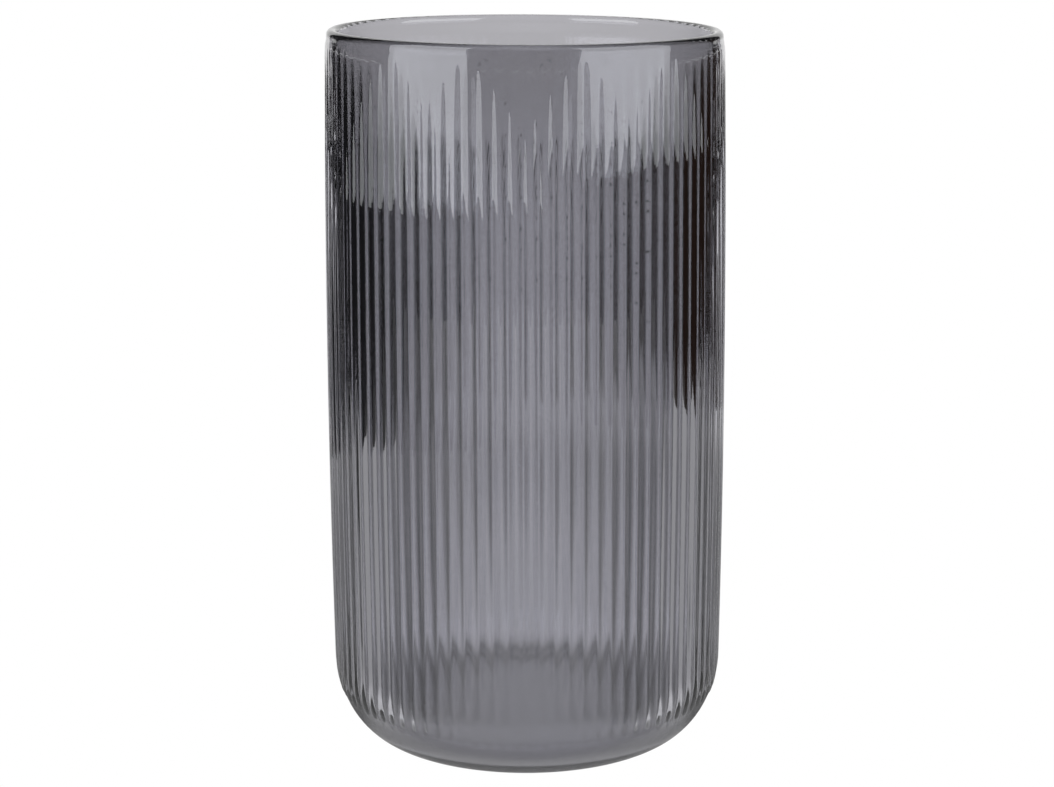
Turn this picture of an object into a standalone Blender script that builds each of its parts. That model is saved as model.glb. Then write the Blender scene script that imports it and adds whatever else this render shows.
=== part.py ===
"""Ribbed cylinder vase in smoked glass, modelled in metres with +Z up.

The vase is one continuous piece of mould-blown glass: a ribbed wall with a
fire-polished lip, a rounded corner below the ribs, a flat underside and a
plain inner surface. The origin is the centre of the flat underside.
"""

import math

import bmesh
import bpy

# Overall shape. Outer wall radii are measured to the crests of the ribs.
HEIGHT = 0.2476
NECK_RADIUS = 0.0680        # wall just under the lip
LIP_RADIUS = 0.0675         # widest point of the rounded lip
FOOT_RADIUS = 0.0691        # wall where it turns into the base
WALL_BULGE = 0.0010         # swell of the wall at mid-height, beyond a straight line
LIP_EASE = 0.005            # height over which the wall draws in to the lip
WALL_THICKNESS = 0.0038     # at the lip
FOOT_THICKNESS = 0.0046     # wall thickness just above the base
FLOOR_THICKNESS = 0.005

# Rounded corner between the wall and the flat underside, and the inner corner, which runs
# alongside it. A pull says how far the curve keeps the direction it has at that end.
BASE_RADIUS = 0.0558        # flat part of the underside
CORNER_HEIGHT = 0.0269
CORNER_BASE_PULL = 0.0010
CORNER_WALL_PULL = 0.0200
INNER_FLOOR_RADIUS = 0.0540  # flat part of the inner floor
INNER_FLOOR_PULL = 0.0030
INNER_WALL_PULL = 0.0120

# Vertical ribs, which deepen slowly below the lip and stop short of the underside
RIB_COUNT = 87
RIB_DEPTH = 0.00085         # over most of the wall
RIB_FOOT_DEPTH = 0.0005     # on the corner above the base
RIB_TOP = 0.2446
RIB_FADE = 0.075            # height over which the ribs reach their full depth
RIB_FADE_POWER = 1.2
RIB_SHALLOW_TOP = 0.060     # the ribs grow shallower from here down to the corner
RIB_FOOT = 0.0139
RIB_FOOT_ROUND = 0.0016     # height of the rounded lower end of a rib
RIB_TURN = 0.7              # place across half a rib where its arch turns into the groove

# Mesh resolution
FACETS_PER_RIB = 4
# Heights of the ribbed rings between the ends of the ribs and the neck
WALL_LEVELS = (0.0195, CORNER_HEIGHT, RIB_SHALLOW_TOP, 0.105, 0.145, 0.178, 0.205, 0.230)
CORNER_STEPS = 4
LIP_STEPS = 4
INNER_WALL_STEPS = 3
INNER_CORNER_STEPS = 5
SHARE_TOLERANCE = 0.000001  # how closely a place along the corner curve is found

GLASS_COLOUR = (0.22, 0.22, 0.235, 1.0)
GLASS_ROUGHNESS = 0.05
GLASS_IOR = 1.5
GLASS_TRANSMISSION = 0.85
SHARP_ANGLE = math.radians(40)


def clear_scene():
    for item in list(bpy.data.objects):
        bpy.data.objects.remove(item, do_unlink=True)


def glass_material():
    """Smoky grey glass, lightly tinted towards blue."""
    material = bpy.data.materials.new("smoked_glass")
    material.use_nodes = True
    shader = material.node_tree.nodes["Principled BSDF"]
    shader.inputs["Base Color"].default_value = GLASS_COLOUR
    shader.inputs["Roughness"].default_value = GLASS_ROUGHNESS
    shader.inputs["Metallic"].default_value = 0.0
    shader.inputs["IOR"].default_value = GLASS_IOR
    shader.inputs["Transmission Weight"].default_value = GLASS_TRANSMISSION
    return material


def wall_share(z):
    """0 where the wall leaves the base and 1 at the top of the ribs."""
    return (z - CORNER_HEIGHT) / (RIB_TOP - CORNER_HEIGHT)


def crest_radius(z):
    """Outer radius of the wall over the crests of the ribs."""
    share = wall_share(z)
    straight = FOOT_RADIUS + (NECK_RADIUS - FOOT_RADIUS) * share
    lip_z = HEIGHT - WALL_THICKNESS / 2
    lean = min(max((z - lip_z + LIP_EASE) / LIP_EASE, 0.0), 1.0)
    return straight + WALL_BULGE * 4.0 * share * (1.0 - share) - (NECK_RADIUS - LIP_RADIUS) * lean ** 2


def inner_radius(z):
    """Inner radius of the wall, which is thickest at the foot."""
    thickness = FOOT_THICKNESS + (WALL_THICKNESS - FOOT_THICKNESS) * wall_share(z)
    return crest_radius(z) - thickness


def curve_point(t, start, start_pull, end, end_pull):
    """A point on a curve that leaves its start (radius, height) level and reaches its end upright."""
    controls = (start, (start[0] + start_pull, start[1]), (end[0], end[1] - end_pull), end)
    weights = ((1 - t) ** 3, 3 * (1 - t) ** 2 * t, 3 * (1 - t) * t ** 2, t ** 3)
    radius = sum(weight * control[0] for weight, control in zip(weights, controls))
    height = sum(weight * control[1] for weight, control in zip(weights, controls))
    return radius, height


def corner_point(t):
    """A point on the outer corner curve, from the underside at 0 to the wall at 1."""
    end = (FOOT_RADIUS - RIB_FOOT_DEPTH, CORNER_HEIGHT)
    return curve_point(t, (BASE_RADIUS, 0.0), CORNER_BASE_PULL, end, CORNER_WALL_PULL)


def inner_corner_point(t):
    """A point on the inner corner curve, from the floor at 0 to the inner wall at 1."""
    start = (INNER_FLOOR_RADIUS, FLOOR_THICKNESS)
    end = (FOOT_RADIUS - FOOT_THICKNESS, CORNER_HEIGHT)
    return curve_point(t, start, INNER_FLOOR_PULL, end, INNER_WALL_PULL)


def corner_share_at(z):
    """The place along the corner curve that lies at height z."""
    low, high = 0.0, 1.0
    while high - low > SHARE_TOLERANCE:
        middle = (low + high) / 2
        if corner_point(middle)[1] < z:
            low = middle
        else:
            high = middle
    return low


def groove_radius_at(z):
    """Outer radius at the bottom of the grooves between the ribs."""
    if z <= CORNER_HEIGHT:
        return corner_point(corner_share_at(z))[0]
    return crest_radius(z) - rib_depth(z)


def rib_depth(z):
    """Depth of the ribs, which builds up below the lip and ends roundly above the base."""
    if z >= RIB_TOP or z <= RIB_FOOT:
        return 0.0
    below_lip = min((RIB_TOP - z) / RIB_FADE, 1.0)
    above_corner = min(max((z - CORNER_HEIGHT) / (RIB_SHALLOW_TOP - CORNER_HEIGHT), 0.0), 1.0)
    above_foot = min((z - RIB_FOOT) / RIB_FOOT_ROUND, 1.0)
    depth = RIB_FOOT_DEPTH + (RIB_DEPTH - RIB_FOOT_DEPTH) * above_corner
    depth *= 1.0 - (1.0 - below_lip) ** RIB_FADE_POWER
    return depth * math.sqrt(above_foot * (2.0 - above_foot))


def rib_lift(column):
    """Height of a rib's section above the groove, from 0 to 1: an arch that flows into the grooves."""
    across = abs(2.0 * (column % FACETS_PER_RIB) / FACETS_PER_RIB - 1.0)
    if across < RIB_TURN:
        return 1.0 - across ** 2 / RIB_TURN
    return (1.0 - across) ** 2 / (1.0 - RIB_TURN)


def add_ring(mesh, count, z, radius_of_column):
    """A closed ring of vertices from -Y round, whose radius may change from column to column."""
    ring = []
    for column in range(count):
        angle = 2.0 * math.pi * column / count - math.pi / 2
        radius = radius_of_column(column)
        ring.append(mesh.verts.new((radius * math.cos(angle), radius * math.sin(angle), z)))
    return ring


def ribbed_ring(mesh, z):
    """A ring of the ribbed wall, with a few vertices for each rib."""
    groove, depth = groove_radius_at(z), rib_depth(z)
    return add_ring(mesh, RIB_COUNT * FACETS_PER_RIB, z, lambda column: groove + depth * rib_lift(column))


def plain_ring(mesh, radius, z):
    """A round ring, with one vertex for each rib."""
    return add_ring(mesh, RIB_COUNT, z, lambda column: radius)


def join_rings(mesh, first, second):
    """Faces between two rings; a ring with more vertices fans out from the other."""
    if len(first) == len(second):
        for i, vertex in enumerate(first):
            j = (i + 1) % len(first)
            mesh.faces.new((vertex, first[j], second[j], second[i]))
        return
    coarse, fine = (first, second) if len(first) < len(second) else (second, first)
    ratio = len(fine) // len(coarse)
    for i, vertex in enumerate(coarse):
        neighbour = coarse[(i + 1) % len(coarse)]
        middle = i * ratio + ratio // 2
        for k in range(ratio):
            start = fine[i * ratio + k]
            end = fine[(i * ratio + k + 1) % len(fine)]
            apex = vertex if i * ratio + k < middle else neighbour
            mesh.faces.new((apex, start, end))
        mesh.faces.new((vertex, fine[middle], neighbour))


def corner_rings(mesh):
    """Smooth rings from the flat underside up to the ends of the ribs."""
    rib_share = corner_share_at(RIB_FOOT)
    rings = []
    for step in range(CORNER_STEPS + 1):
        radius, z = corner_point(rib_share * step / (CORNER_STEPS + 1))
        rings.append(plain_ring(mesh, radius, z))
    return rings


def wall_rings(mesh):
    """Ribbed rings from the ends of the ribs up to the neck."""
    levels = (RIB_FOOT, RIB_FOOT + RIB_FOOT_ROUND) + WALL_LEVELS + (RIB_TOP,)
    return [ribbed_ring(mesh, z) for z in levels]


def lip_rings(mesh):
    """The rounded lip, from its widest point over the top to the inner wall."""
    half_wall = WALL_THICKNESS / 2
    rings = []
    for step in range(LIP_STEPS + 1):
        angle = math.pi * step / LIP_STEPS
        radius = LIP_RADIUS - half_wall + half_wall * math.cos(angle)
        rings.append(plain_ring(mesh, radius, HEIGHT - half_wall + half_wall * math.sin(angle)))
    return rings


def inner_rings(mesh):
    """The inner wall from under the lip down, then the round turn into the flat floor."""
    rings = []
    for step in range(INNER_WALL_STEPS):
        z = RIB_TOP + (CORNER_HEIGHT - RIB_TOP) * step / INNER_WALL_STEPS
        rings.append(plain_ring(mesh, inner_radius(z), z))
    for step in range(INNER_CORNER_STEPS + 1):
        radius, z = inner_corner_point(1.0 - step / INNER_CORNER_STEPS)
        rings.append(plain_ring(mesh, radius, z))
    return rings


def make_vase():
    """The whole vase as one closed skin: underside, wall, lip, inner wall and floor."""
    mesh = bmesh.new()
    rings = corner_rings(mesh) + wall_rings(mesh) + lip_rings(mesh) + inner_rings(mesh)
    for lower, upper in zip(rings, rings[1:]):
        join_rings(mesh, lower, upper)
    mesh.faces.new(reversed(rings[0]))
    mesh.faces.new(rings[-1])
    bmesh.ops.recalc_face_normals(mesh, faces=mesh.faces)

    data = bpy.data.meshes.new("ribbed_glass_vase")
    mesh.to_mesh(data)
    mesh.free()
    data.materials.append(glass_material())
    data.shade_smooth()
    data.set_sharp_from_angle(angle=SHARP_ANGLE)
    vase = bpy.data.objects.new("ribbed_glass_vase", data)
    bpy.context.scene.collection.objects.link(vase)


clear_scene()
make_vase()
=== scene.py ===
"""The looks of the ribbed smoked-glass vase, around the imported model.

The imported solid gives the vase's size and place. This script builds the same
vase as one fine closed mesh, gives it a smoky glass material, and sets up a
pale floor, studio lights and the camera. Everything is in metres, +Z up.
"""

import math

import bpy
import numpy as np
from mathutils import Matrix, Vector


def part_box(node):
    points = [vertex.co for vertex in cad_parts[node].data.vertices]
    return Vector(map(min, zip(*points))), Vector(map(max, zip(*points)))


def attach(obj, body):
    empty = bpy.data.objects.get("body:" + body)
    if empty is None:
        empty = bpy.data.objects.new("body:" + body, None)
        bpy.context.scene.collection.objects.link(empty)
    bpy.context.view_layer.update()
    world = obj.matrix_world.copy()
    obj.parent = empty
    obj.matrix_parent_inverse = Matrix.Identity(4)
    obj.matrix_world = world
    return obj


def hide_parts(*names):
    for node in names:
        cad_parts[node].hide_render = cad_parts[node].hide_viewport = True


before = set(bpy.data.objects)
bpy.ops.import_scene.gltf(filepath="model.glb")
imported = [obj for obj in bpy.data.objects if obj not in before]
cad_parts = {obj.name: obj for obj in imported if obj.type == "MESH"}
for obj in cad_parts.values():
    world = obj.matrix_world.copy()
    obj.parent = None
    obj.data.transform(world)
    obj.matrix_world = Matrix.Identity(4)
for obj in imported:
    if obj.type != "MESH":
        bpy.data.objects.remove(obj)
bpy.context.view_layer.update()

# Shape of the vase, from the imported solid's box and the sizes it was designed with
VASE_LOW, VASE_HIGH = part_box("ribbed_glass_vase")
HEIGHT = VASE_HIGH[2] - VASE_LOW[2]
NECK_RADIUS = 0.0680        # wall just under the lip, over the crests of the ribs
LIP_RADIUS = 0.0675
FOOT_RADIUS = 0.0691        # wall where it turns into the base
WALL_BULGE = 0.0010         # swell of the wall at mid-height
LIP_EASE = 0.005            # height over which the wall draws in to the lip
WALL_THICKNESS = 0.0038
FOOT_THICKNESS = 0.0046
FLOOR_THICKNESS = 0.005
BASE_RADIUS = 0.0558        # flat part of the underside
CORNER_HEIGHT = 0.0269
CORNER_BASE_PULL = 0.0010    # how far a corner's curve keeps the direction it has at its end
CORNER_WALL_PULL = 0.0200
INNER_FLOOR_RADIUS = 0.0540
INNER_FLOOR_PULL = 0.0030
INNER_WALL_PULL = 0.0120
SHARE_TOLERANCE = 0.0000001  # how closely a place along the corner curve is found
LIP_LEAN = -0.0074          # slope of the lip to the right, because it is a little out of level
LIP_LEAN_POWER = 4          # how strongly that lean keeps to the top of the wall

# Ribs, which deepen slowly below the lip and end roundly above the base
RIB_COUNT = 87
RIB_TURNED = math.radians(-0.8)     # how far the groove nearest the front is turned from -Y
RIB_DEPTH = 0.00085
RIB_FOOT_DEPTH = 0.0005
RIB_TOP = 0.2446
RIB_FADE = 0.075            # height over which the ribs reach their full depth
RIB_START = 0.004           # height over which they begin
RIB_FADE_POWER = 1.9
RIB_SHALLOW_TOP = 0.060
RIB_FOOT = 0.0139
RIB_FOOT_ROUND = 0.0022
RIB_TURN_AT_LIP = 0.63      # place across half a rib where its arch turns into the groove
RIB_TURN_BELOW = 0.80       # the same where the ribs have their full depth

# Slight waves of the inner surface: how many lobes around, and how fast each leans with height
WAVE_DEPTH = 0.00025
WAVE_LENGTH = 0.11
WAVES = ((5, 0.7), (9, -1.0), (13, 0.4), (22, -0.6))

# Mesh resolution
FACETS_PER_RIB = 12
INNER_FACETS_PER_RIB = 4
CORNER_STEPS = 15
RIB_FOOT_STEPS = 8
CORNER_TOP_STEPS = 4
WALL_STEPS = 35
LIP_STEPS = 12
INNER_WALL_STEPS = 26
INNER_CORNER_STEPS = 20
FLAT_RIM = 0.002            # narrow ring that keeps the edge of a flat face flat

# Camera: standing in front, looking slightly down
CAMERA_DISTANCE = 0.80202
CAMERA_HEIGHT = 0.31003
CAMERA_PITCH = 0.23277
CAMERA_ROLL = 0.00325
CAMERA_YAW = -0.00113
CAMERA_LENS = 79.79
SENSOR_WIDTH = 36.0

# Glass
TINT = (0.510, 0.506, 0.534, 1.0)
COOL_TINT = (0.494, 0.494, 0.536, 1.0)
TINT_PATCH = 30.0           # patches of tint per metre
NECK_SHADED_TINT = (0.462, 0.458, 0.484, 1.0)      # painted shade: the tint is deeper round the neck, which keeps the unribbed neck darker than the ribbed body that gathers more light
NECK_SHADE_FROM, NECK_SHADE_TO = 0.200, 0.232
GLASS_IOR = 1.5
BASE_ROUGHNESS = 0.22       # the underside and its rounded edge are slightly matt
MATT_BELOW, CLEAR_ABOVE = 0.010, 0.015
MARK_SPACING = 0.0033       # small dark marks in the tint, in rows along the grooves
MARK_HALF_WIDTH, MARK_HALF_HEIGHT = 0.00028, 0.00075
MARK_ASIDE = 0.10           # how far from the groove they lie, as a share of a rib
MARK_SHARE = 0.25           # share of the places that have one
MARK_CORE = 0.3             # share of a mark's reach that is fully dark
MARK_LOWEST, MARK_FULL_FROM = 0.13, 0.18    # the marks grow in over these heights
MARK_FULL_TO, MARK_HIGHEST = 0.228, 0.236   # and fade out again over these
MARK_DARKNESS = 0.75
RIPPLE_SIZE, RIPPLE_HEIGHT = 0.0011, 0.0000025
DRAG_WIDTH, DRAG_LENGTH, DRAG_HEIGHT = 0.0009, 0.030, 0.000003

# Stage
FLOOR_Z = -0.0004
FLOOR_HALF_SIDE = 8.0
UNDER_SHADE = 0.70          # share of the floor's glow that is left under the glass
CONTACT_SHADE = 0.45        # the same in a thin ring just inside the edge of the flat underside
UNDER_RADIUS, CONTACT_RADIUS, UNDER_REACH = 0.044, 0.050, 0.090
SIDE_SHADE = 0.50           # the same to the left and the right of the glass, until well behind it
SIDE_INNER, SIDE_OUTER = 0.06, 0.13
SIDE_BACK_FROM, SIDE_BACK_TO = 0.20, 0.45
EDGE_SHADE = 0.35           # two soft shadows, which run backwards and outwards from the vase's sides
EDGE_START, EDGE_SPREAD, EDGE_WIDTH = 0.060, 0.55, 0.060
EDGE_FRONT_FROM, EDGE_FRONT_TO = -0.03, 0.0
BACKDROP_Y, BACKDROP_HALF_WIDTH, BACKDROP_TOP, BACKDROP_GLOW = 1.6, 0.9, 2.0, 0.97
DARK_FIELD_Z = 0.001
DARK_WEDGE_Z = 0.002
DARK_FIELD_REACH = 6.0
DARK_LEFT_X, DARK_RIGHT_X, DARK_FRONT_Y = -0.46, 0.52, -0.90
TABLE_SPREAD = math.tan(math.radians(25.0))     # the pale table narrows to this wedge behind the vase
DARK_LEFT_BACK, DARK_RIGHT_BACK = (0.33, 1.30), (0.43, 1.50)
DARK_LEFT_COLOUR = (0.012, 0.012, 0.013, 1.0)
DARK_RIGHT_COLOUR = (0.020, 0.012, 0.009, 1.0)
DARK_FRONT_COLOUR = (0.05, 0.05, 0.05, 1.0)
SOFTBOX_DISTANCE, SOFTBOX_TOP = 1.0, 1.2
SOFTBOX_COLOUR = (0.93, 0.96, 1.0, 1.0)
SOFTBOX_STEPS = 12
SOFTBOX_LEFT_AZIMUTHS, SOFTBOX_LEFT_BOTTOM, SOFTBOX_LEFT_GLOW = (-80.0, -32.0), 0.07, 3.5
SOFTBOX_RIGHT_AZIMUTHS, SOFTBOX_RIGHT_BOTTOM, SOFTBOX_RIGHT_GLOW = (31.0, 88.0), 0.105, 3.2
ROOM_COLOUR = (0.05, 0.05, 0.053, 1.0)
BLACK = (0.0, 0.0, 0.0, 1.0)
WHITE = (1.0, 1.0, 1.0, 1.0)


# ---------------------------------------------------------------- vase shape

def wall_share(z):
    """0 where the wall leaves the base and 1 at the top of the ribs."""
    return (z - CORNER_HEIGHT) / (RIB_TOP - CORNER_HEIGHT)


def crest_radius(z):
    """Outer radius over the crests of the ribs."""
    share = wall_share(z)
    straight = FOOT_RADIUS + (NECK_RADIUS - FOOT_RADIUS) * share
    lip_z = HEIGHT - WALL_THICKNESS / 2
    lean = min(max((z - lip_z + LIP_EASE) / LIP_EASE, 0.0), 1.0)
    eased = lean ** 2 * (3.0 - 2.0 * lean)
    return straight + WALL_BULGE * 4.0 * share * (1.0 - share) - (NECK_RADIUS - LIP_RADIUS) * eased


def inner_radius(z):
    """Inner radius of the wall, which is thickest at the foot."""
    thickness = FOOT_THICKNESS + (WALL_THICKNESS - FOOT_THICKNESS) * wall_share(z)
    return crest_radius(z) - thickness


def rib_depth(z):
    """Depth of the ribs at height z, without their rounded lower ends."""
    below_lip = min(max((RIB_TOP - z) / RIB_FADE, 0.0), 1.0)
    above_corner = min(max((z - CORNER_HEIGHT) / (RIB_SHALLOW_TOP - CORNER_HEIGHT), 0.0), 1.0)
    depth = RIB_FOOT_DEPTH + (RIB_DEPTH - RIB_FOOT_DEPTH) * above_corner
    start = min(max((RIB_TOP - z) / RIB_START, 0.0), 1.0)
    return depth * (1.0 - (1.0 - below_lip) ** RIB_FADE_POWER) * start ** 2 * (3.0 - 2.0 * start)


def rib_turn(z):
    """The place across half a rib, at height z, where its arch turns into the groove."""
    below_lip = min(max((RIB_TOP - z) / RIB_FADE, 0.0), 1.0)
    return RIB_TURN_AT_LIP + (RIB_TURN_BELOW - RIB_TURN_AT_LIP) * below_lip


def rib_lift(across, z):
    """Share of the rib's depth at places across it, from -1 to 1, at height z."""
    over_foot = min(max((z - RIB_FOOT) / RIB_FOOT_ROUND, 0.0), 1.0)
    if over_foot == 0.0:
        return np.zeros_like(across)
    reach = math.sqrt(over_foot * (2.0 - over_foot))
    place = np.clip(np.abs(across) / reach, 0.0, 1.0)
    turn = rib_turn(z)
    arch = 1.0 - place ** 2 / turn
    hollow = (1.0 - place) ** 2 / (1.0 - turn)
    return reach * np.where(place < turn, arch, hollow)


def curve_point(t, start, start_pull, end, end_pull):
    """A point on a curve that leaves its start (radius, height) level and reaches its end upright."""
    controls = (start, (start[0] + start_pull, start[1]), (end[0], end[1] - end_pull), end)
    weights = ((1 - t) ** 3, 3 * (1 - t) ** 2 * t, 3 * (1 - t) * t ** 2, t ** 3)
    radius = sum(weight * control[0] for weight, control in zip(weights, controls))
    height = sum(weight * control[1] for weight, control in zip(weights, controls))
    return radius, height


def corner_point(t):
    """A point on the outer corner curve, from the underside at 0 to the wall at 1."""
    end = (FOOT_RADIUS - RIB_FOOT_DEPTH, CORNER_HEIGHT)
    return curve_point(t, (BASE_RADIUS, 0.0), CORNER_BASE_PULL, end, CORNER_WALL_PULL)


def inner_corner_point(t):
    """A point on the inner corner curve, from the floor at 0 to the inner wall at 1."""
    start = (INNER_FLOOR_RADIUS, FLOOR_THICKNESS)
    end = (FOOT_RADIUS - FOOT_THICKNESS, CORNER_HEIGHT)
    return curve_point(t, start, INNER_FLOOR_PULL, end, INNER_WALL_PULL)


def corner_share_at(z):
    """The place along the corner curve that lies at height z."""
    low, high = 0.0, 1.0
    while high - low > SHARE_TOLERANCE:
        middle = (low + high) / 2
        if corner_point(middle)[1] < z:
            low = middle
        else:
            high = middle
    return low


class RingMesh:
    """Closed rings of vertices around the axis, joined one after another."""

    def __init__(self):
        self.points = []
        self.faces = []
        self.size = 0
        self.last = None

    def add(self, radius, z, count):
        """Add a ring. Radius may be an array, with a value for each column."""
        angles = 2.0 * np.pi * np.arange(count) / count - np.pi / 2 + RIB_TURNED
        x, y = radius * np.cos(angles), radius * np.sin(angles)
        self.points.append(np.column_stack((x, y, z + LIP_LEAN * x * (z / HEIGHT) ** LIP_LEAN_POWER)))
        ring = np.arange(self.size, self.size + count)
        self.size += count
        if self.last is not None:
            self.join(self.last, ring)
        self.last = ring

    def join(self, lower, upper):
        """Faces between two rings, of which the lower one may be finer by a whole number."""
        ratio = len(lower) // len(upper)
        if ratio == 1:
            quads = np.column_stack((lower, np.roll(lower, -1), np.roll(upper, -1), upper))
            self.faces.extend(quads.tolist())
            return
        for i, vertex in enumerate(upper):
            neighbour = upper[(i + 1) % len(upper)]
            middle = i * ratio + ratio // 2
            for k in range(i * ratio, (i + 1) * ratio):
                apex = vertex if k < middle else neighbour
                self.faces.append([int(lower[k]), int(lower[(k + 1) % len(lower)]), int(apex)])
            self.faces.append([int(lower[middle]), int(neighbour), int(vertex)])

    def cap(self, ring):
        self.faces.append(ring.tolist())


def add_outer_skin(rings):
    """The outside from the edge of the flat underside up to the top of the ribs."""
    columns = RIB_COUNT * FACETS_PER_RIB
    across = 2.0 * (np.arange(columns) % FACETS_PER_RIB) / FACETS_PER_RIB - 1.0

    foot_share = corner_share_at(RIB_FOOT)
    heights = [corner_point(foot_share * step / CORNER_STEPS)[1] for step in range(CORNER_STEPS + 1)]
    for step in range(1, RIB_FOOT_STEPS + 1):
        rounding = 1.0 - math.cos(math.pi / 2 * step / RIB_FOOT_STEPS)
        heights.append(RIB_FOOT + RIB_FOOT_ROUND * rounding)
    ribs_start = heights[-1]
    for step in range(1, CORNER_TOP_STEPS + 1):
        heights.append(ribs_start + (CORNER_HEIGHT - ribs_start) * step / CORNER_TOP_STEPS)
    for z in heights:
        rings.add(corner_point(corner_share_at(z))[0] + rib_depth(z) * rib_lift(across, z), z, columns)

    for step in range(1, WALL_STEPS + 1):
        share = 1.0 - (1.0 - step / WALL_STEPS) ** 2
        z = CORNER_HEIGHT + (RIB_TOP - CORNER_HEIGHT) * share
        depth = rib_depth(z)
        rings.add(crest_radius(z) - depth + depth * rib_lift(across, z), z, columns)


def add_lip(rings):
    """The fire-polished lip, from its widest point over the top to the inner wall."""
    half_wall = WALL_THICKNESS / 2
    for step in range(LIP_STEPS + 1):
        angle = math.pi * step / LIP_STEPS
        radius = LIP_RADIUS - half_wall + half_wall * math.cos(angle)
        rings.add(radius, HEIGHT - half_wall + half_wall * math.sin(angle), RIB_COUNT * FACETS_PER_RIB)


def inner_waves(angles, z):
    """Slight unevenness of the blown inner surface, which fades out at both ends of the wall."""
    share = wall_share(z)
    height = 2.0 * math.pi * (z - CORNER_HEIGHT) / WAVE_LENGTH
    waves = sum(np.sin(lobes * angles + lean * height) for lobes, lean in WAVES)
    return WAVE_DEPTH * 4.0 * share * (1.0 - share) * waves / len(WAVES)


def add_inner_skin(rings):
    """The inner wall from under the lip down, then the round turn into the floor."""
    columns = RIB_COUNT * INNER_FACETS_PER_RIB
    angles = 2.0 * np.pi * np.arange(columns) / columns
    for step in range(INNER_WALL_STEPS):
        z = RIB_TOP + (CORNER_HEIGHT - RIB_TOP) * (step / INNER_WALL_STEPS) ** 2
        rings.add(inner_radius(z) + inner_waves(angles, z), z, columns)
    for step in range(INNER_CORNER_STEPS + 1):
        radius, z = inner_corner_point(1.0 - step / INNER_CORNER_STEPS)
        rings.add(radius, z, columns)
    rings.add(INNER_FLOOR_RADIUS - FLAT_RIM, FLOOR_THICKNESS, columns)


def build_vase(material):
    rings = RingMesh()
    rings.add(BASE_RADIUS - FLAT_RIM, 0.0, RIB_COUNT * FACETS_PER_RIB)
    rings.cap(rings.last[::-1])
    add_outer_skin(rings)
    add_lip(rings)
    add_inner_skin(rings)
    rings.cap(rings.last)

    mesh = bpy.data.meshes.new("vase_fine")
    mesh.from_pydata(np.concatenate(rings.points).tolist(), [], rings.faces)
    mesh.materials.append(material)
    mesh.shade_smooth()
    mesh.update()
    vase = bpy.data.objects.new("vase_fine", mesh)
    bpy.context.scene.collection.objects.link(vase)
    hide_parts("ribbed_glass_vase")
    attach(vase, "root")


# ----------------------------------------------------------------- materials

def math_node(nodes, links, operation, *values):
    """A math node, whose inputs are numbers or other nodes' outputs."""
    node = nodes.new("ShaderNodeMath")
    node.operation = operation
    for socket, value in zip(node.inputs, values):
        if isinstance(value, (int, float)):
            socket.default_value = value
        else:
            links.new(value, socket)
    return node.outputs["Value"]


def fall_off(nodes, links, distance, near, far, value_near, value_far):
    """A smooth change from one value to another as a distance grows."""
    change = nodes.new("ShaderNodeMapRange")
    change.interpolation_type = "SMOOTHSTEP"
    change.inputs["From Min"].default_value = near
    change.inputs["From Max"].default_value = far
    change.inputs["To Min"].default_value = value_near
    change.inputs["To Max"].default_value = value_far
    links.new(distance, change.inputs["Value"])
    return change.outputs["Result"]


def vector_of(nodes, links, *values):
    node = nodes.new("ShaderNodeCombineXYZ")
    for socket, value in zip(node.inputs, values):
        if isinstance(value, (int, float)):
            socket.default_value = value
        else:
            links.new(value, socket)
    return node.outputs["Vector"]


def noise_of(nodes, links, place, scale, detail=2.0):
    node = nodes.new("ShaderNodeTexNoise")
    node.inputs["Scale"].default_value = scale
    node.inputs["Detail"].default_value = detail
    links.new(place, node.inputs["Vector"])
    return node.outputs["Fac"]


def bump_of(nodes, links, height, distance, under=None):
    node = nodes.new("ShaderNodeBump")
    node.inputs["Distance"].default_value = distance
    links.new(height, node.inputs["Height"])
    if under is not None:
        links.new(under, node.inputs["Normal"])
    return node.outputs["Normal"]


def dark_tick_marks(nodes, links, ribs_round, z):
    """1 on the small upright marks that lie in rows beside the upper grooves, 0 elsewhere."""
    across = math_node(nodes, links, "ADD", ribs_round, 0.5 + MARK_ASIDE)
    along = math_node(nodes, links, "DIVIDE", z, MARK_SPACING)
    rib_pitch = 2.0 * math.pi * NECK_RADIUS / RIB_COUNT
    offsets = []
    for place, step, reach in ((across, rib_pitch, MARK_HALF_WIDTH), (along, MARK_SPACING, MARK_HALF_HEIGHT)):
        inside = math_node(nodes, links, "FRACT", place)
        from_middle = math_node(nodes, links, "SUBTRACT", inside, 0.5)
        offsets.append(math_node(nodes, links, "MULTIPLY", from_middle, step / reach))
    length = nodes.new("ShaderNodeVectorMath")
    length.operation = "LENGTH"
    links.new(vector_of(nodes, links, *offsets, 0.0), length.inputs[0])
    mark = fall_off(nodes, links, length.outputs["Value"], MARK_CORE, 1.0, 1.0, 0.0)
    chance = nodes.new("ShaderNodeTexWhiteNoise")
    chance.noise_dimensions = "2D"
    cell = [math_node(nodes, links, "FLOOR", place) for place in (across, along)]
    links.new(vector_of(nodes, links, *cell, 0.0), chance.inputs["Vector"])
    present = math_node(nodes, links, "LESS_THAN", chance.outputs["Value"], MARK_SHARE)
    above = fall_off(nodes, links, z, MARK_LOWEST, MARK_FULL_FROM, 0.0, 1.0)
    below = fall_off(nodes, links, z, MARK_FULL_TO, MARK_HIGHEST, 1.0, 0.0)
    zone = math_node(nodes, links, "MULTIPLY", above, below)
    return math_node(nodes, links, "MULTIPLY", math_node(nodes, links, "MULTIPLY", mark, present), zone)


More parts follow.
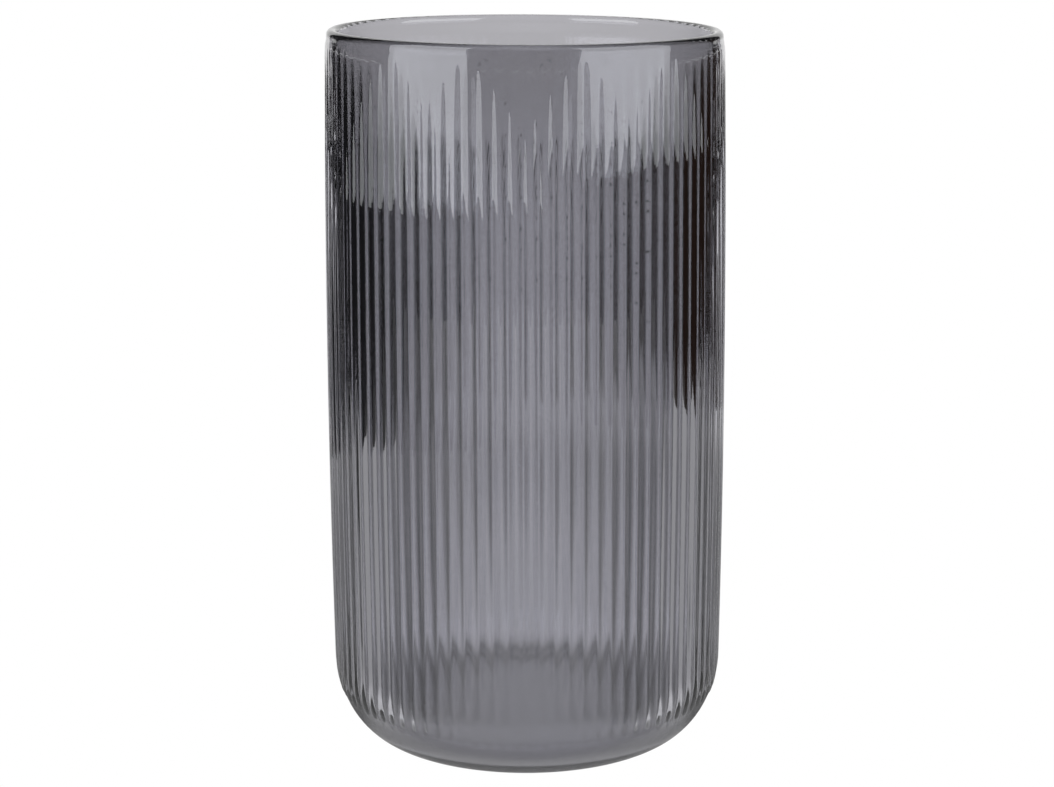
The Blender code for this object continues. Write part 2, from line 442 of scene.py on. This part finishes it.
def smoked_glass():
    """Clear glass with a smoky tint in its skin, deepened round the neck as painted shade, small dark marks
    in the tint, ripples and faint upright drag lines.
    """
    material = bpy.data.materials.new("smoked_glass_fine")
    material.use_nodes = True
    nodes, links = material.node_tree.nodes, material.node_tree.links
    shader = nodes["Principled BSDF"]
    shader.inputs["IOR"].default_value = GLASS_IOR
    shader.inputs["Transmission Weight"].default_value = 1.0

    place = nodes.new("ShaderNodeTexCoord").outputs["Object"]
    parts = nodes.new("ShaderNodeSeparateXYZ")
    links.new(place, parts.inputs["Vector"])
    z = parts.outputs["Z"]
    angle = math_node(nodes, links, "ARCTAN2", parts.outputs["Y"], parts.outputs["X"])
    turned = math_node(nodes, links, "ADD", angle, math.pi / 2 - RIB_TURNED)
    ribs_round = math_node(nodes, links, "MULTIPLY", turned, RIB_COUNT / (2.0 * math.pi))
    mark = dark_tick_marks(nodes, links, ribs_round, z)
    roughness = fall_off(nodes, links, z, MATT_BELOW, CLEAR_ABOVE, BASE_ROUGHNESS, 0.0)
    links.new(roughness, shader.inputs["Roughness"])

    patch = noise_of(nodes, links, place, TINT_PATCH)
    tint = nodes.new("ShaderNodeMix")
    tint.data_type = "RGBA"
    tint.inputs["A"].default_value = TINT
    tint.inputs["B"].default_value = COOL_TINT
    links.new(patch, tint.inputs["Factor"])
    # painted shade: the tint deepens round the neck
    neck = nodes.new("ShaderNodeMix")
    neck.data_type = "RGBA"
    neck.inputs["B"].default_value = NECK_SHADED_TINT
    links.new(fall_off(nodes, links, z, NECK_SHADE_FROM, NECK_SHADE_TO, 0.0, 1.0), neck.inputs["Factor"])
    links.new(tint.outputs["Result"], neck.inputs["A"])
    # small dark marks in the tint, in rows beside the upper grooves
    marked = nodes.new("ShaderNodeMix")
    marked.data_type = "RGBA"
    marked.inputs["B"].default_value = tuple(channel * (1.0 - MARK_DARKNESS) for channel in TINT[:3]) + (1.0,)
    links.new(mark, marked.inputs["Factor"])
    links.new(neck.outputs["Result"], marked.inputs["A"])
    links.new(marked.outputs["Result"], shader.inputs["Base Color"])

    ripple = noise_of(nodes, links, place, 1.0 / RIPPLE_SIZE)
    around = math_node(nodes, links, "MULTIPLY", angle, NECK_RADIUS / DRAG_WIDTH)
    drag_place = vector_of(nodes, links, around, math_node(nodes, links, "DIVIDE", z, DRAG_LENGTH), 0.0)
    drag = noise_of(nodes, links, drag_place, 1.0)
    normal = bump_of(nodes, links, ripple, RIPPLE_HEIGHT)
    normal = bump_of(nodes, links, drag, DRAG_HEIGHT, normal)
    links.new(normal, shader.inputs["Normal"])
    return material


def glowing(name, glow=1.0, colour=WHITE):
    """A matt black surface that gives off an even light."""
    material = bpy.data.materials.new(name)
    material.use_nodes = True
    shader = material.node_tree.nodes["Principled BSDF"]
    shader.inputs["Base Color"].default_value = BLACK
    shader.inputs["Roughness"].default_value = 1.0
    shader.inputs["Specular IOR Level"].default_value = 0.0
    shader.inputs["Emission Color"].default_value = colour
    shader.inputs["Emission Strength"].default_value = glow
    return material


# --------------------------------------------------------------------- stage

def add_stage_mesh(name, points, faces, material):
    mesh = bpy.data.meshes.new(name)
    mesh.from_pydata(points, [], faces)
    mesh.materials.append(material)
    thing = bpy.data.objects.new(name, mesh)
    bpy.context.scene.collection.objects.link(thing)
    return thing


def add_rectangle(name, x_range, y_range, z, material):
    (x0, x1), (y0, y1) = x_range, y_range
    corners = [(x0, y0, z), (x1, y0, z), (x1, y1, z), (x0, y1, z)]
    return add_stage_mesh(name, corners, [(0, 1, 2, 3)], material)


def only_in_glass(thing):
    """Keep a stage object out of the plain picture, so that only the glass shows it."""
    thing.visible_camera = False
    thing.visible_diffuse = False
    thing.visible_shadow = False


def make_floor():
    """A pale floor, which the glass sees a little darker below and beside the vase."""
    material = glowing("pale_floor")
    nodes, links = material.node_tree.nodes, material.node_tree.links
    place = nodes.new("ShaderNodeTexCoord").outputs["Object"]
    length = nodes.new("ShaderNodeVectorMath")
    length.operation = "LENGTH"
    links.new(place, length.inputs[0])
    distance = length.outputs["Value"]
    parts = nodes.new("ShaderNodeSeparateXYZ")
    links.new(place, parts.inputs["Vector"])
    behind = parts.outputs["Y"]
    aside = math_node(nodes, links, "ABSOLUTE", parts.outputs["X"])

    below = fall_off(nodes, links, distance, UNDER_RADIUS, CONTACT_RADIUS, UNDER_SHADE, CONTACT_SHADE)
    clear = fall_off(nodes, links, distance, CONTACT_RADIUS, UNDER_REACH, 0.0, 1.0)
    under = math_node(nodes, links, "MAXIMUM", below, clear)

    beside = fall_off(nodes, links, aside, SIDE_INNER, SIDE_OUTER, 1.0, SIDE_SHADE)
    far_back = fall_off(nodes, links, behind, SIDE_BACK_FROM, SIDE_BACK_TO, 0.0, 1.0)
    side = math_node(nodes, links, "MAXIMUM", beside, far_back)

    edge_line = math_node(nodes, links, "MULTIPLY_ADD", behind, EDGE_SPREAD, EDGE_START)
    off_line = math_node(nodes, links, "ABSOLUTE", math_node(nodes, links, "SUBTRACT", aside, edge_line))
    on_edge = fall_off(nodes, links, off_line, 0.0, EDGE_WIDTH, EDGE_SHADE, 1.0)
    in_front = fall_off(nodes, links, behind, EDGE_FRONT_FROM, EDGE_FRONT_TO, 1.0, 0.0)
    edge = math_node(nodes, links, "MAXIMUM", on_edge, in_front)

    shade = math_node(nodes, links, "MULTIPLY", math_node(nodes, links, "MULTIPLY", under, side), edge)
    in_picture = nodes.new("ShaderNodeLightPath").outputs["Is Camera Ray"]
    glow = math_node(nodes, links, "MAXIMUM", shade, in_picture)
    links.new(glow, nodes["Principled BSDF"].inputs["Emission Strength"])
    extent = (-FLOOR_HALF_SIDE, FLOOR_HALF_SIDE)
    add_rectangle("floor", extent, extent, FLOOR_Z, material)


def make_backdrop():
    x, y, top = BACKDROP_HALF_WIDTH, BACKDROP_Y, BACKDROP_TOP
    points = [(-x, y, 0.0), (x, y, 0.0), (x, y, top), (-x, y, top)]
    only_in_glass(add_stage_mesh("backdrop", points, [(0, 1, 2, 3)], glowing("pale_backdrop", BACKDROP_GLOW)))


def make_dark_field(name, x_range, y_range, colour):
    """A dark area beyond the table's edge, seen only in the glass."""
    only_in_glass(add_rectangle(name, x_range, y_range, DARK_FIELD_Z, glowing(name, 1.0, colour)))


def make_dark_wedge(name, side, y_range, colour):
    """A dark area behind the vase to one side, beyond the pale wedge of the table."""
    near, back = y_range
    spread, reach, z = side * TABLE_SPREAD, side * DARK_FIELD_REACH, DARK_WEDGE_Z
    inner = [(spread * near, near, z), (spread * back, back, z)]
    outer = [(reach, back, z), (reach, near, z)]
    only_in_glass(add_stage_mesh(name, inner + outer, [(0, 1, 2, 3)], glowing(name, 1.0, colour)))


def make_softbox(name, azimuths, bottom, glow):
    """A bright curved panel around the vase, seen only in the glass. Azimuth 0 is towards the camera."""
    points, faces = [], []
    for step in range(SOFTBOX_STEPS + 1):
        azimuth = math.radians(azimuths[0] + (azimuths[1] - azimuths[0]) * step / SOFTBOX_STEPS)
        x, y = SOFTBOX_DISTANCE * math.sin(azimuth), -SOFTBOX_DISTANCE * math.cos(azimuth)
        points += [(x, y, bottom), (x, y, SOFTBOX_TOP)]
        if step:
            last = 2 * step
            faces.append((last - 2, last, last + 1, last - 1))
    only_in_glass(add_stage_mesh(name, points, faces, glowing(name, glow, SOFTBOX_COLOUR)))


def make_world():
    """A dim room for the glass, and a plain white ground for the picture."""
    world = bpy.data.worlds.new("studio")
    bpy.context.scene.world = world
    world.use_nodes = True
    nodes, links = world.node_tree.nodes, world.node_tree.links
    path = nodes.new("ShaderNodeLightPath")
    mix = nodes.new("ShaderNodeMix")
    mix.data_type = "RGBA"
    mix.inputs["A"].default_value = ROOM_COLOUR
    mix.inputs["B"].default_value = WHITE
    links.new(path.outputs["Is Camera Ray"], mix.inputs["Factor"])
    links.new(mix.outputs["Result"], nodes["Background"].inputs["Color"])


def make_camera():
    data = bpy.data.cameras.new("camera")
    data.sensor_width = SENSOR_WIDTH
    data.lens = CAMERA_LENS
    camera = bpy.data.objects.new("camera", data)
    bpy.context.scene.collection.objects.link(camera)
    camera.location = (0.0, -CAMERA_DISTANCE, CAMERA_HEIGHT)
    camera.rotation_mode = "XYZ"
    camera.rotation_euler = (math.pi / 2 - CAMERA_PITCH, CAMERA_ROLL, CAMERA_YAW)
    bpy.context.scene.camera = camera


build_vase(smoked_glass())
make_floor()
make_backdrop()
far = DARK_FIELD_REACH
make_dark_field("dark_left", (-far, DARK_LEFT_X), (-far, far), DARK_LEFT_COLOUR)
make_dark_field("dark_right", (DARK_RIGHT_X, far), (-far, far), DARK_RIGHT_COLOUR)
make_dark_wedge("dark_left_back", -1.0, DARK_LEFT_BACK, DARK_LEFT_COLOUR)
make_dark_wedge("dark_right_back", 1.0, DARK_RIGHT_BACK, DARK_RIGHT_COLOUR)
make_dark_field("dark_front", (DARK_LEFT_X, DARK_RIGHT_X), (-far, DARK_FRONT_Y), DARK_FRONT_COLOUR)
make_softbox("softbox_left", SOFTBOX_LEFT_AZIMUTHS, SOFTBOX_LEFT_BOTTOM, SOFTBOX_LEFT_GLOW)
make_softbox("softbox_right", SOFTBOX_RIGHT_AZIMUTHS, SOFTBOX_RIGHT_BOTTOM, SOFTBOX_RIGHT_GLOW)
make_world()
make_camera()
bpy.context.scene.view_settings.view_transform = "Standard"
